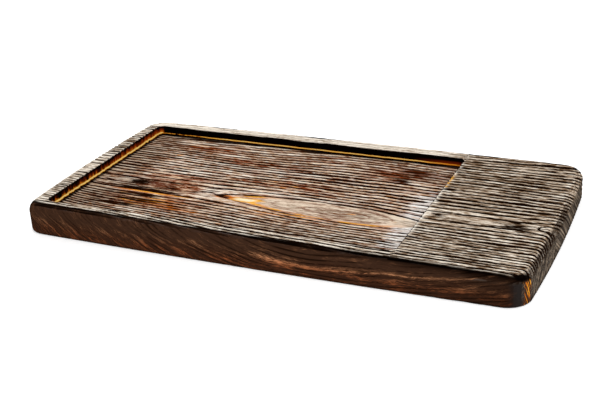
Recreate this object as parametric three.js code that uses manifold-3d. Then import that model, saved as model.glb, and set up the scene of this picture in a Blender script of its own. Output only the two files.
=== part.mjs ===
// A brushed and burnt softwood serving tray: four staves glued edge to edge on
// hidden dowels, with a shallow recess cut into the top and a plain land at one end.
// Millimetres, +Z up, +X along the grain towards the land, +Y towards the back.
// The origin is the centre of the underside.
import * as THREE from "three";
import { mergeVertices } from "three/addons/utils/BufferGeometryUtils.js";
import Module from "manifold-3d";

const wasm = await Module();
wasm.setup();

// Board
const LENGTH = 350;
const WIDTH = 182;
const THICKNESS = 20;
const CORNER_RADIUS = 18; // in plan
const END_BOW = 2; // rise of each end's outline between its corners
const SIDE_BOW = 1.6; // rise of the front's and the back's outline between their corners
const TOP_ROUND = 6; // round-over of the top edge
const BOTTOM_EASE = 1.5; // small round on the bottom edge

// Recess
const RIM = 15; // left at the front, the back and the left end
const LAND = 85; // plain top left at the right end
const RECESS_DEPTH = 7;
const RECESS_CORNER = 5; // in plan
const COVE = 2; // hollow round where the wall meets the floor
const ARRIS = 0.8; // chamfer on the recess's upper edge

// Brushed grain. The rings are counted outwards from a closed ring, the eye, on the recess floor.
const RING_SPACING = 4.3; // across the top
const RING_TILT = 1.25; // shift across the board for each millimetre up
const FRONT_START = 14; // in front of the eye's axis the rings are squeezed from here on
const FRONT_SQUEEZE = 0.3;
const EYE_X = 35;
const EYE_Y = -22.4;
const EYE_SLOPE = -0.035; // of the eye's axis
const EYE_LEFT = 85; // from the eye's widest place to its left tip
const EYE_RIGHT = 58; // and to its right tip
const EYE_RINGS = 2.9; // half width of the eye
const LAND_RINGS = 2.2; // how far the land's rings close, squared
const LAND_SHIFT = 3; // of the land's rings towards the back
const OPEN_START = 25; // from the right end, where the end begins to cut a ring open
const RINGS_PER_GROOVE = 3; // the solids carry every third ring
const GROOVE_DEPTH = 0.9;
const GROOVE_WIDTH = 2.4;
const GROOVE_STEPS = 20; // along a groove
const RUN_OUT = -0.3; // share of the depth past a groove's end, clear of the wood

// Glued edge joints
const STAVES = ["front_stave", "front_inner_stave", "rear_inner_stave", "rear_stave"];
const JOINTS = ["front", "middle", "rear"];
const GLUE_LINE = 0.2; // thickness of the glue between two staves
const DOWEL_DIAMETER = 6;
const DOWEL_LENGTH = 30;
const DOWEL_CHAMFER = 0.8;
const DOWEL_FIT = 0.2; // radial room in the bore
const DOWEL_END_ROOM = 1; // room for glue past each end of a dowel
const DOWELS_PER_JOINT = 4;
const DOWEL_MARGIN = 30; // from the board's ends to the first dowel's bay

// Facets
const CORNER_FACETS = 10; // in a quarter turn of a plan corner
const BOW_FACETS = 5; // in half a bowed side
const ROUND_FACETS = 6; // in a rounded edge
const CHAMFER_FACETS = 1; // a chamfer is a rounded edge of one facet
const DOWEL_FACETS = 16;

// Derived places
const STAVE_WIDTH = WIDTH / STAVES.length;
const FLOOR_Z = THICKNESS - RECESS_DEPTH;
const FRONT_Y = -WIDTH / 2;
const ARC_HANDLE = (4 / 3) * Math.tan(Math.PI / 8); // a Bezier curve's handle for a quarter turn of radius 1
const RECESS = {
  left: -LENGTH / 2 + RIM,
  right: LENGTH / 2 - LAND,
  front: FRONT_Y + RIM,
  back: WIDTH / 2 - RIM,
};

// A closed three.js geometry as a solid that can be cut and joined.
function toSolid(geometry) {
  const bare = geometry.clone();
  bare.deleteAttribute("normal");
  bare.deleteAttribute("uv");
  const merged = mergeVertices(bare, 1e-4);
  return new wasm.Manifold(
    new wasm.Mesh({
      numProp: 3,
      vertProperties: merged.getAttribute("position").array,
      triVerts: new Uint32Array(merged.index.array),
    }),
  );
}

function toGeometry(solid) {
  const mesh = solid.getMesh();
  const geometry = new THREE.BufferGeometry();
  geometry.setAttribute("position", new THREE.BufferAttribute(mesh.vertProperties, 3));
  geometry.setIndex(new THREE.BufferAttribute(mesh.triVerts, 1));
  geometry.computeVertexNormals();
  return geometry;
}

function roundedRectangle(left, right, front, back, radius) {
  const quarter = Math.PI / 2;
  const outline = new THREE.Shape();
  outline.absarc(right - radius, front + radius, radius, -quarter, 0);
  outline.absarc(right - radius, back - radius, radius, 0, quarter);
  outline.absarc(left + radius, back - radius, radius, quarter, 2 * quarter);
  outline.absarc(left + radius, front + radius, radius, 2 * quarter, 3 * quarter);
  outline.closePath();
  return outline;
}

// The board's outline in plan: bowed sides that run smoothly into rounded corners.
// One quarter is drawn, from the middle of the +X end to the middle of the back, and mirrored.
function boardOutline() {
  const endMiddle = new THREE.Vector2(LENGTH / 2, 0);
  const sideMiddle = new THREE.Vector2(0, WIDTH / 2);
  const endTop = new THREE.Vector2(LENGTH / 2 - END_BOW, WIDTH / 2 - CORNER_RADIUS);
  const sideTop = new THREE.Vector2(LENGTH / 2 - CORNER_RADIUS, WIDTH / 2 - SIDE_BOW);
  const endPull = new THREE.Vector2(endMiddle.x, endTop.y / 2);
  const sidePull = new THREE.Vector2(sideTop.x / 2, sideMiddle.y);
  const reach = CORNER_RADIUS * ARC_HANDLE;
  const handle = (from, pull) => from.clone().sub(pull).setLength(reach).add(from);
  const end = new THREE.QuadraticBezierCurve(endMiddle, endPull, endTop);
  const corner = new THREE.CubicBezierCurve(endTop, handle(endTop, endPull), handle(sideTop, sidePull), sideTop);
  const side = new THREE.QuadraticBezierCurve(sideTop, sidePull, sideMiddle);
  const quarter = [
    ...end.getPoints(BOW_FACETS).slice(0, -1),
    ...corner.getPoints(CORNER_FACETS).slice(0, -1),
    ...side.getPoints(BOW_FACETS),
  ];
  const turned = (signX, signY) => quarter.map((p) => new THREE.Vector2(signX * p.x, signY * p.y));
  const rounds = [turned(1, 1), turned(-1, 1).reverse(), turned(-1, -1), turned(1, -1).reverse()];
  return new THREE.Shape(rounds.flatMap((points) => points.slice(0, -1)));
}

// An outline raised from one height to another, with its end edges rounded.
function roundedBlock(outline, bottom, top, round, facets) {
  const block = new THREE.ExtrudeGeometry(outline, {
    depth: top - bottom - 2 * round,
    curveSegments: CORNER_FACETS,
    bevelEnabled: true,
    bevelThickness: round,
    bevelSize: round,
    bevelOffset: -round,
    bevelSegments: facets,
  });
  return toSolid(block.translate(0, 0, bottom + round));
}

// The whole board before it is parted into staves. The two blocks reach past each
// other's far side, so each gives the board only one of its edges.
function board() {
  const outline = boardOutline();
  const topEdge = roundedBlock(outline, -THICKNESS, THICKNESS, TOP_ROUND, ROUND_FACETS);
  const bottomEdge = roundedBlock(outline, 0, 2 * THICKNESS, BOTTOM_EASE, ROUND_FACETS);
  return topEdge.intersect(bottomEdge).subtract(recess()).subtract(grain());
}

function recess() {
  const { left, right, front, back } = RECESS;
  const clearTop = THICKNESS + RECESS_DEPTH;
  const walls = roundedRectangle(left, right, front, back, RECESS_CORNER);
  const lip = roundedRectangle(left - ARRIS, right + ARRIS, front - ARRIS, back + ARRIS, RECESS_CORNER + ARRIS);
  const pocket = roundedBlock(walls, FLOOR_Z, clearTop, COVE, ROUND_FACETS);
  return pocket.add(roundedBlock(lip, THICKNESS - ARRIS, clearTop, ARRIS, CHAMFER_FACETS));
}

const { smoothstep } = THREE.MathUtils;

// How far a ring strays across the board, least beside the eye.
function wander(x, y) {
  const free = 0.25 + 0.75 * smoothstep(Math.abs(y - EYE_Y), 10, 35);
  const slant = -0.0007 * Math.min(x, 70) * (y - EYE_Y);
  return free * (1.3 * Math.sin(x / 37 + y / 17 + 0.6) + 0.7 * Math.sin(x / 21 - y / 29)) + slant;
}

// How far the rings close at a place along the board, in rings squared.
function closing(x, onLand) {
  const reach = THREE.MathUtils.lerp(EYE_LEFT, EYE_RIGHT, smoothstep(x, EYE_X - 20, EYE_X + 20));
  const eye = 1.25 * EYE_RINGS ** 2 * (1 - Math.exp(-1.61 * Math.abs((x - EYE_X) / reach) ** 2.5));
  const land = LAND_RINGS * (1 - smoothstep(x, LENGTH / 2 - OPEN_START, LENGTH / 2));
  return THREE.MathUtils.lerp(eye, land, onLand);
}

// Where a ring lies across the board on one side of the eye's axis, if it reaches that far along.
function ringY(ring, side, x, z) {
  const onLand = smoothstep(x, RECESS.right - 1.5, RECESS.right + 1.5);
  const count = ring - ((z - FLOOR_Z) * RING_TILT) / RING_SPACING;
  const width = count > 0 ? count ** 2 - closing(x, onLand) : 0;
  if (width <= 0) return null;
  let across = side * RING_SPACING * Math.sqrt(width);
  if (across < -FRONT_START) across = (across - FRONT_SQUEEZE * FRONT_START) / (1 + FRONT_SQUEEZE);
  const straight = across + EYE_Y + EYE_SLOPE * (Math.min(x, 80) - EYE_X) + LAND_SHIFT * onLand;
  let y = straight;
  for (let round = 0; round < 8; round++) y = straight - wander(x, y);
  return y;
}

// A V-shaped cutter along a line of places in plan. A place's share of the full depth is below
// zero where the groove has run out.
function groove(places, z) {
  const clear = 1;
  const flank = GROOVE_WIDTH / 2 / GROOVE_DEPTH;
  const points = [];
  for (const { x, y, share } of places) {
    const half = flank * (GROOVE_DEPTH * share + clear);
    points.push(x, y, z - GROOVE_DEPTH * share, x, y - half, z + clear, x, y + half, z + clear);
  }
  const last = 3 * (places.length - 1);
  const faces = [0, 1, 2, last, last + 2, last + 1];
  for (let i = 0; i < last; i += 3) {
    for (const [a, b] of [[0, 1], [1, 2], [2, 0]]) {
      faces.push(i + a, i + b + 3, i + b, i + a, i + a + 3, i + b + 3);
    }
  }
  const cutter = new THREE.BufferGeometry();
  cutter.setAttribute("position", new THREE.Float32BufferAttribute(points, 3));
  cutter.setIndex(faces);
  return toSolid(cutter);
}

// The grooves of the deepest rings on one level face, between two ends.
function grooves(left, right, z, share) {
  const cutters = [];
  for (const side of [-1, 1]) {
    for (let ring = RINGS_PER_GROOVE; ring * RING_SPACING < 2 * WIDTH; ring += RINGS_PER_GROOVE) {
      const places = [];
      for (let step = 0; step <= GROOVE_STEPS; step++) {
        const x = THREE.MathUtils.lerp(left, right, step / GROOVE_STEPS);
        const y = ringY(ring, side, x, z);
        if (y !== null) places.push({ x, y, share: share(x, y) });
      }
      if (places.some((place) => place.share > 0)) {
        if (places[0].x > left) places[0].share = RUN_OUT;
        if (places.at(-1).x < right) places.at(-1).share = RUN_OUT;
        cutters.push(groove(places, z));
      }
    }
  }
  return cutters;
}

// All the grooves that the solids carry: on the recess floor, on the rims and on the land.
function grain() {
  const hem = COVE + GROOVE_WIDTH;
  const { left, right, front, back } = RECESS;
  const onFloor = (x, y) =>
    x > left + hem && x < right - hem && y > front + hem && y < back - hem ? 1 : RUN_OUT;
  const onTop = (x, y) => {
    const edge = WIDTH / 2 - TOP_ROUND - Math.abs(y);
    const beside = x > left - RIM / 2 && x < right + RIM / 2;
    const lip = beside && Math.abs(y) > back - hem && Math.abs(y) < back + hem;
    return edge > 0 && !lip ? 1 : RUN_OUT;
  };
  return wasm.Manifold.union([
    ...grooves(left + COVE, right - COVE, FLOOR_Z, onFloor),
    ...grooves(-LENGTH / 2 - 1, LENGTH / 2 + 1, THICKNESS, onTop),
  ]);
}

// A round pin along Y with chamfered ends, centred on the origin.
function pin(diameter, length, chamfer) {
  const radius = diameter / 2;
  const half = length / 2;
  const profile = [
    new THREE.Vector2(0, -half),
    new THREE.Vector2(radius - chamfer, -half),
    new THREE.Vector2(radius, chamfer - half),
    new THREE.Vector2(radius, half - chamfer),
    new THREE.Vector2(radius - chamfer, half),
    new THREE.Vector2(0, half),
  ];
  return new THREE.LatheGeometry(profile, DOWEL_FACETS);
}

function jointY(joint) {
  return FRONT_Y + (joint + 1) * STAVE_WIDTH;
}

// The centre of a dowel on a joint. Neighbouring joints are staggered by half a bay.
function dowelPlace(joint, index) {
  const bay = (LENGTH - 2 * DOWEL_MARGIN) / DOWELS_PER_JOINT;
  const stagger = (joint % 2 ? 1 : -1) * (bay / 4);
  const along = (index - (DOWELS_PER_JOINT - 1) / 2) * bay + stagger;
  return new THREE.Vector3(along, jointY(joint), FLOOR_Z / 2);
}

function dowelBores(joint) {
  const bore = new THREE.CylinderGeometry(
    DOWEL_DIAMETER / 2 + DOWEL_FIT,
    DOWEL_DIAMETER / 2 + DOWEL_FIT,
    DOWEL_LENGTH + 2 * DOWEL_END_ROOM,
    DOWEL_FACETS,
  );
  return Array.from({ length: DOWELS_PER_JOINT }, (_, index) =>
    toSolid(bore.clone().translate(...dowelPlace(joint, index))),
  );
}

// The part of the board between two glue lines, bored for the dowels on both its edges.
// The outer staves' slices reach past the board's own front and back.
function stave(whole, index) {
  const front = index === 0 ? 2 * FRONT_Y : jointY(index - 1) + GLUE_LINE / 2;
  const back = index === JOINTS.length ? -2 * FRONT_Y : jointY(index) - GLUE_LINE / 2;
  const slice = new THREE.BoxGeometry(2 * LENGTH, back - front, 4 * THICKNESS);
  slice.translate(0, (front + back) / 2, 0);
  const touched = [index - 1, index].filter((joint) => joint >= 0 && joint < JOINTS.length);
  return touched
    .flatMap(dowelBores)
    .reduce((solid, bore) => solid.subtract(bore), whole.intersect(toSolid(slice)));
}

function brushedWood() {
  return new THREE.MeshStandardMaterial({ color: 0x6e6052, roughness: 0.72, metalness: 0 });
}

function beech() {
  return new THREE.MeshStandardMaterial({ color: 0xc9a06c, roughness: 0.6, metalness: 0 });
}

const tray = new THREE.Group();
const whole = board();
STAVES.forEach((name, index) => {
  const mesh = new THREE.Mesh(toGeometry(stave(whole, index)), brushedWood());
  mesh.name = name;
  tray.add(mesh);
});
JOINTS.forEach((jointName, joint) => {
  for (let index = 0; index < DOWELS_PER_JOINT; index++) {
    const mesh = new THREE.Mesh(pin(DOWEL_DIAMETER, DOWEL_LENGTH, DOWEL_CHAMFER), beech());
    mesh.name = `${jointName}_dowel_${index + 1}`;
    mesh.position.copy(dowelPlace(joint, index));
    tray.add(mesh);
  }
});

export default tray;
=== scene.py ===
"""A brushed and burnt softwood serving tray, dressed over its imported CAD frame.

The board is modelled once, brushed along its growth rings, parted at its glue lines into four
staves and bored for the dowels. Fields and patterns are written in millimetres in the tray's
frame: +X along the grain towards the plain land, +Y to the back, +Z up. A named range holds what
Field.ramp takes: where it starts and ends, then the values there if they aren't zero and one.
"""

import math

import bmesh
import bpy
from bpy.props import FloatProperty, FloatVectorProperty, PointerProperty
from mathutils import Matrix, Vector


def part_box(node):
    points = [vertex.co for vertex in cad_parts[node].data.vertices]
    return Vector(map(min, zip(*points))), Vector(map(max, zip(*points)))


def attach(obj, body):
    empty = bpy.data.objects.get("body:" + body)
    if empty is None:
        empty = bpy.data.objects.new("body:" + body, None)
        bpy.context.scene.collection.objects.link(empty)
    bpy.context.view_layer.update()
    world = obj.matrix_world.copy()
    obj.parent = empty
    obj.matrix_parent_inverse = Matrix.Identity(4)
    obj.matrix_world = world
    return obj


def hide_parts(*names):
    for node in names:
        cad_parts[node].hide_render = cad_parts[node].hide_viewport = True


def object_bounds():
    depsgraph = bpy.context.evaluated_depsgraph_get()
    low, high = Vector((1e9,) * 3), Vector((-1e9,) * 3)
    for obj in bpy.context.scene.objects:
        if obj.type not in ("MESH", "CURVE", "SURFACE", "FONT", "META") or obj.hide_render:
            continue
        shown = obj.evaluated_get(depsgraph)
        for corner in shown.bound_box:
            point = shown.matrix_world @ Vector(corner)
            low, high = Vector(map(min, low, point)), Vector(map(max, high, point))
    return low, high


bl_info = {
    "name": "Brushed Serving Tray",
    "version": (1, 0, 0),
    "blender": (4, 5, 0),
    "location": "View3D > Sidebar > Tray",
    "description": "Builds a burnt and brushed serving tray from staves over its CAD frame",
    "category": "Object",
}

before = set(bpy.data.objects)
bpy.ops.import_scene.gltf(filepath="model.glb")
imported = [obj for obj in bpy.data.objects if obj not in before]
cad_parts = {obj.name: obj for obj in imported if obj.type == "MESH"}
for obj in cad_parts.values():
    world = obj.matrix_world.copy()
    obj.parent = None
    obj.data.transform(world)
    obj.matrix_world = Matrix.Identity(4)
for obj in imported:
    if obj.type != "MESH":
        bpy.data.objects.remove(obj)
CAD_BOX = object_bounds()

STAVE_NODES = ("front_stave", "front_inner_stave", "rear_inner_stave", "rear_stave")
DOWEL_NODES = tuple(name for name in sorted(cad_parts) if "dowel" in name)
MM = 0.001
LENGTH, WIDTH, THICKNESS = ((high - low) / MM for low, high in zip(*CAD_BOX))


def shade(code):
    """A colour written as six hexadecimal digits, as Blender's linear red, green and blue."""
    parts = [int(code[i : i + 2], 16) / 255 for i in (0, 2, 4)]
    return tuple(p / 12.92 if p <= 0.04045 else ((p + 0.055) / 1.055) ** 2.4 for p in parts)


def length(name, description, default):
    """A length property, given in millimetres."""
    return FloatProperty(name=name, description=description, default=default * MM, unit="LENGTH")


def ratio(name, description, default):
    return FloatProperty(name=name, description=description, default=default)


def colour(name, description, code):
    """A colour property, given as six hexadecimal digits."""
    return FloatVectorProperty(
        name=name, description=description, default=shade(code), subtype="COLOR", size=3, min=0, max=1
    )


class TraySizes(bpy.types.PropertyGroup):
    """The board's shape, to the same values as its CAD solids."""

    corner: length("Corner radius", "Radius of the corners in plan, before the sides are bowed", 15.7)
    end_bow: length("End bow", "Rise of each end's outline between its corners", 2)
    side_bow: length("Side bow", "Rise of each long side's outline between its corners", 1.6)
    top_round: length("Top round", "Round-over of the top edge", 6)
    bottom_ease: length("Bottom ease", "Small round on the bottom edge", 1.5)
    rim: length("Rim", "Width of the rim at the front, the back and the left end", 15)
    land: length("Land", "Length of the plain top at the right end", 85)
    recess_depth: length("Recess depth", "From the rim down to the recess floor", 7)
    recess_corner: length("Recess corner", "Radius of the recess's corners in plan", 5)
    cove: length("Cove", "Hollow round where the recess wall meets the floor", 2)
    arris: length("Arris", "Ease on the recess's upper edge", 0.8)
    bore_room: length("Bore room", "Radial room round a dowel", 0.2)
    bore_end_room: length("Bore end room", "Room for glue past each end of a dowel", 1)


class TrayGrain(bpy.types.PropertyGroup):
    """How the wood grew and how deep the brush went."""

    ring_spacing: length("Ring spacing", "Distance between growth rings across the top", 4.3)
    ring_tilt: ratio("Ring tilt", "Rise of the rings through the thickness", 1.25)
    top_depth: length("Top depth", "Depth of the brushed grooves on the top", 1.1)
    end_depth: length("End depth", "Depth of the grooves on the end grain", 0.45)
    side_depth: length("Side depth", "Depth of the grooves on the front and back", 0.2)
    under_depth: length("Under depth", "Depth of the grooves on the underside", 0.12)
    mesh_step: length("Mesh step", "Size of the mesh across the grain", 0.475)
    mesh_stretch: ratio("Mesh stretch", "Mesh size along the grain over that across", 2.1)


class TrayColours(bpy.types.PropertyGroup):
    """The burnt finish."""

    ridge: colour("Ridge", "Worn crest of a ridge", "baa48c")
    # Pale ridge: pale fibres, and painted sheen where the crests would catch the light.
    pale_ridge_and_sheen: colour("Pale ridge", "Lightest fibres of a ridge", "fdf2e2")
    brown: colour("Brown", "Toasted wood in the lee of a ridge", "664a30")
    toast: colour("Toast", "Tan of the recess floor's crests", "f4cfa8")
    rust: colour("Rust", "Reddish scorch on the recess floor", "7c340b")
    eye: colour("Eye", "Clean wood inside the closed ring", "e8d4bc")
    gold: colour("Gold", "Wood that the flame left bare", "fcb53a")
    ember: colour("Ember", "Orange edge of a groove", "d57418")
    flame: colour("Flame", "Brightest part of the bare line", "ffe288")
    cream: colour("Cream", "Wood brushed clean", "ffeec4")
    # Char is also painted shade under the right end's top round and along the ends' lower edges.
    char: colour("Char", "Bottom of a groove", "150802")
    umber: colour("Umber", "Bottom of a groove on the recess floor", "200d04")
    # Soot is burn, and also painted shade on the recess walls, in the crease at their foot and across the
    # front's round-over.
    soot_and_shade: colour("Soot", "Burnt recess wall and edge line", "050201")
    scorch: colour("Scorch", "Red-brown above the bare line", "842c08")
    side: colour("Side", "Stained front, back and underside", "3e261a")
    side_streak: colour("Side streak", "Lighter streak on the sides", "d2956a")
    side_glow: colour("Side glow", "Redder streak low on the sides", "d2703c")
    side_band: colour("Side band", "Smooth band under the top edge", "402a1e")
    slate: colour("Slate", "Smooth dark grey of the worn corner", "2a2523")
    beech: colour("Beech", "Dowels", "c9a06c")


# Node fields


def operation(kind):
    """A method of Field that makes one math node."""

    def method(self, *terms):
        node = self.tree.nodes.new("ShaderNodeMath")
        node.operation = kind
        for socket, term in zip(node.inputs, (self, *terms)):
            feed(socket, term)
        return Field(self.tree, node.outputs[0])

    return method


class Field:
    """A node socket that adds and multiplies as a number does, so that a field reads as a formula."""

    __add__ = __radd__ = operation("ADD")
    __mul__ = __rmul__ = operation("MULTIPLY")
    __sub__ = operation("SUBTRACT")
    __truediv__ = operation("DIVIDE")
    __pow__ = operation("POWER")
    root = operation("SQRT")
    size = operation("ABSOLUTE")
    least = operation("MINIMUM")
    most = operation("MAXIMUM")
    sine = operation("SINE")
    exp = operation("EXPONENT")
    nearest = operation("ROUND")
    fraction = operation("FRACT")

    def __init__(self, tree, socket):
        self.tree = tree
        self.socket = socket

    def __neg__(self):
        return self * -1.0

    def __rsub__(self, other):
        return -self + other

    def squared(self):
        return self * self

    def bell(self, middle, width):
        """One at the middle, falling away to nothing on both sides."""
        return (-((self - middle) / width).squared()).exp()

    def ramp(self, low, high, start=0.0, end=1.0):
        """Eases from start to end as this goes from low to high."""
        node = self.tree.nodes.new("ShaderNodeMapRange")
        node.interpolation_type = "SMOOTHSTEP"
        for socket, term in zip(node.inputs, (self, low, high, start, end)):
            feed(socket, term)
        return Field(self.tree, node.outputs[0])


def feed(socket, term):
    """Links a field to a socket, or sets a plain value there."""
    if isinstance(term, Field):
        term.tree.links.new(term.socket, socket)
    else:
        socket.default_value = term


def fill(node, terms):
    """Feeds a node's inputs by their names."""
    for name, term in terms.items():
        feed(node.inputs[name], term)


def from_node(tree, kind, output=0, **settings):
    node = tree.nodes.new(kind)
    for name, value in settings.items():
        setattr(node, name, value)
    return Field(tree, node.outputs[output])


def split(vector):
    """The three parts of a vector field."""
    node = vector.tree.nodes.new("ShaderNodeSeparateXYZ")
    feed(node.inputs[0], vector)
    return [Field(vector.tree, socket) for socket in node.outputs]


def joined(tree, parts):
    node = tree.nodes.new("ShaderNodeCombineXYZ")
    for socket, part in zip(node.inputs, parts):
        feed(socket, part)
    return Field(tree, node.outputs[0])


def noise(tree, place, detail=1.0, roughness=0.5):
    """Smooth noise about zero, mostly within one either way, with blotches one unit long."""
    node = tree.nodes.new("ShaderNodeTexNoise")
    fill(node, {"Vector": joined(tree, place), "Scale": 1.0, "Detail": detail, "Roughness": roughness})
    return (Field(tree, node.outputs[0]) - 0.5) * 4.0


def mixed(factor, under, over):
    """Colour over laid on colour under by a factor field."""
    node = factor.tree.nodes.new("ShaderNodeMix")
    node.data_type = "RGBA"
    feed(node.inputs[0], factor)
    for socket, term in ((node.inputs[6], under), (node.inputs[7], over)):
        feed(socket, term if isinstance(term, Field) else (*term, 1.0))
    return Field(factor.tree, node.outputs[2])


def land_start(sizes):
    """Where the land begins along X."""
    return LENGTH / 2 - sizes.land / MM


def floor_height(sizes):
    """Height of the recess floor."""
    return THICKNESS - sizes.recess_depth / MM


def from_walls(x, y, sizes):
    """Distance in plan from the recess's walls, more than zero inside the recess."""
    rim, land, corner = sizes.rim / MM, sizes.land / MM, sizes.recess_corner / MM
    half_x = (LENGTH - rim - land) / 2
    half_y = WIDTH / 2 - rim
    out_x = (x - (rim - land) / 2).size() - (half_x - corner)
    out_y = y.size() - (half_y - corner)
    round_part = (out_x.most(0.0).squared() + out_y.most(0.0).squared()).root()
    return corner - (round_part + out_x.most(out_y).least(0.0))


# Growth rings

# The closed ring, or eye, on the recess floor. It tapers to the left and ends bluntly to the right.
EYE_X, EYE_Y = 35.0, -22.4
EYE_REACH = (EYE_X - 20, EYE_X + 20, 85.0, 58.0)
EYE_RINGS = 2.9
EYE_SLOPE, EYE_SLOPE_END = -0.035, 80.0
EYE_POWER, EYE_RATE, EYE_EXCESS = 1.25, 1.61, 1.25

# The land's rings close less, until the right end cuts one open.
LAND_BLEND, LAND_SHIFT = 1.5, 3.0
LAND_OPENING = (150.0, 175.0, 2.2, 0.0)

# Rings wander, less so beside the eye. They fan out to the right and lie closer along the front.
FREE_OF_EYE = (10.0, 35.0, 0.25, 1.0)
LONG_WAVE, SHORT_WAVE = (37, 17, 0.6, 1.3), (21, -29, 0.0, 0.7)
RIPPLE, JITTER = 0.5, 0.12
FAN, FAN_END = -0.0007, 70.0
CLOSER_FROM, CLOSER_BY = 14.0, 0.3

# Main grooves, broken and uneven, with thin ones halfway between them.
GROOVE_FLANK = (0.78, 0.2)
GROOVE_SHIFT, GROOVE_WIDENING = 0.09, 0.22
GROOVE_STRENGTH, GROOVE_BREAKS = (-0.8, 0.5, 0.5, 1.0), (-0.9, -0.2, 0.4, 1.0)
CALM_IN_EYE = (EYE_RINGS - 0.5, EYE_RINGS - 0.2, 0.2, 1.0)
EYE_FOOT_WIDTH, EYE_FOOT_Y, EYE_FOOT_X = 0.45, (0.0, -4.0), (90.0, 80.0)
THIN_WIDTH, THIN_SHIFT = 0.11, 0.14

# Hair grooves fill the wood past the eye's tip and the heart of the land.
TIP_X, TIP_Y = (-55.0, -66.0), (12.0, 8.0)
HEART_X, HEART_Y, HEART_OFFSET = (92.0, 96.0), (9.0, 6.0), 4.0
HAIR_WIDTH, HAIR_STRENGTH = 0.16, 0.6

# The front and back show the rings as long shallow bowls, steeper to the left.
BOWL_X = 45.0
BOWL_CURVE = (BOWL_X - 20, BOWL_X + 20, 0.002, 0.00085)
BOWL_SPACING, BOWL_WANDER = 2.6, 1.5
BOWL_WIDTH, BOWL_STRENGTH = 0.2, (-0.6, 0.6, 0.15, 1.0)


def eye_axis(x):
    return (x - EYE_X) * EYE_SLOPE + EYE_Y


def wave(x, y, along, across, start, height):
    return (x / along + y / across + start).sine() * height


def ring_number(tree, x, y, z, sizes, grain):
    """Counts growth rings outwards from the eye, and says how fast the count grows.

    A groove lies at each whole number. The growth is one where rings lie side by side and falls
    towards nothing along the eye's long axis.
    """
    spacing = grain.ring_spacing / MM
    land = land_start(sizes)
    on_land = x.ramp(land - LAND_BLEND, land + LAND_BLEND)
    free = (y - EYE_Y).size().ramp(*FREE_OF_EYE)
    wander = wave(x, y, *LONG_WAVE) + wave(x, y, *SHORT_WAVE)
    ripple = noise(tree, (x / 38, y / 14, z / 14)) * RIPPLE
    fan = x.least(FAN_END) * (y - EYE_Y) * FAN
    across = y - eye_axis(x.least(EYE_SLOPE_END)) + (wander + ripple) * free + fan - on_land * LAND_SHIFT
    across = (across - (-across - CLOSER_FROM).most(0.0) * CLOSER_BY) / spacing
    along = ((x - EYE_X) / x.ramp(*EYE_REACH)).squared() ** EYE_POWER
    closing = (1.0 - (along * -EYE_RATE).exp()) * (EYE_EXCESS * EYE_RINGS**2)
    closing = closing * (1.0 - on_land) + x.ramp(*LAND_OPENING) * on_land
    ring = (across.squared() + closing).root()
    growth = across.size() / ring.most(0.1)
    ring = ring + (z - floor_height(sizes)) * (grain.ring_tilt / spacing)
    return ring + noise(tree, (ring * 0.8, x / 260, 0.0)) * free * JITTER, growth


def hair_grooves(tree, x, y):
    from_axis = y - eye_axis(x)
    past_tip = from_axis.size().ramp(*TIP_Y) * x.ramp(*TIP_X)
    land_heart = (from_axis - HEART_OFFSET).size().ramp(*HEART_Y) * x.ramp(*HEART_X)
    lines = noise(tree, (x / 50, y / 2.6, 5.0)).bell(0.0, HAIR_WIDTH)
    return lines * past_tip.most(land_heart) * HAIR_STRENGTH


def ring_groove(tree, ring, growth, x, y):
    """One at the bottom of a groove and zero on a crest, with breaks along each groove."""
    ring = ring + noise(tree, (x / 19, ring * 0.7, 3.0)) * growth * GROOVE_SHIFT
    index = ring.nearest()
    away = (ring - index).size() * 2.0 / growth.most(0.2)
    width = noise(tree, (index * 1.9, x / 26, 7.0)) * GROOVE_WIDENING
    strength = noise(tree, (index * 3.17, x / 46, index * 1.3)).ramp(*GROOVE_STRENGTH)
    unbroken = noise(tree, (x / 14, index * 2.3, 4.0)).ramp(*GROOVE_BREAKS)
    calm = ring.ramp(*CALM_IN_EYE)
    foot = ring.bell(EYE_RINGS, EYE_FOOT_WIDTH) * (y - eye_axis(x)).ramp(*EYE_FOOT_Y) * x.ramp(*EYE_FOOT_X)
    main = (away + width).ramp(*GROOVE_FLANK) * strength * unbroken * calm * (1.0 - foot * 0.75)
    halfway = (ring + noise(tree, (x / 60, ring * 0.6, 9.0)) * THIN_SHIFT + 0.5).fraction()
    thin = halfway.bell(0.5, THIN_WIDTH) * growth.ramp(0.3, 0.7)
    thin = thin * noise(tree, (x / 22, ring * 1.1, 2.0)).ramp(-0.3, 0.7, 0.0, 0.65)
    return main.most(thin * calm).most(hair_grooves(tree, x, y))


def side_ring(tree, x, y, z):
    bowl = (x - BOWL_X).squared() * x.ramp(*BOWL_CURVE)
    wander = noise(tree, (x / 55, y / 30, z / 14)) * BOWL_WANDER
    return (z - bowl + wander) / BOWL_SPACING


def side_groove(tree, ring, x):
    strength = noise(tree, (ring.nearest() * 2.7, x / 30, 6.0)).ramp(*BOWL_STRENGTH)
    return ring.fraction().bell(0.5, BOWL_WIDTH) * strength


# Brushing

# Where the outline's bow grows, and which way a face has to turn for each kind of groove.
BOW_REACH = (-2.0, -12.0)
OUT_OF_RECESS = (-1.0, -3.0)
SIDE_FACING = (0.3, 0.6)
TOP_FACING, END_FACING, UNDER_FACING = (0.3, 0.97), (0.6, 0.95), (-0.95, -0.6)

# The brush reached less of the floor by the recess's walls and its left end.
NEAR_FLOOR, NOT_BELOW = (4.0, 2.0), (-0.5, 0.0)
BY_WALLS, BY_LEFT_END = (1.5, 5.0, 0.2, 1.0), (-158.0, -140.0, 0.4, 1.0)

# Mesh attributes that the brushing leaves for the finish.
KEPT = ("groove", "ring", "bowl", "up", "side")


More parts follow.
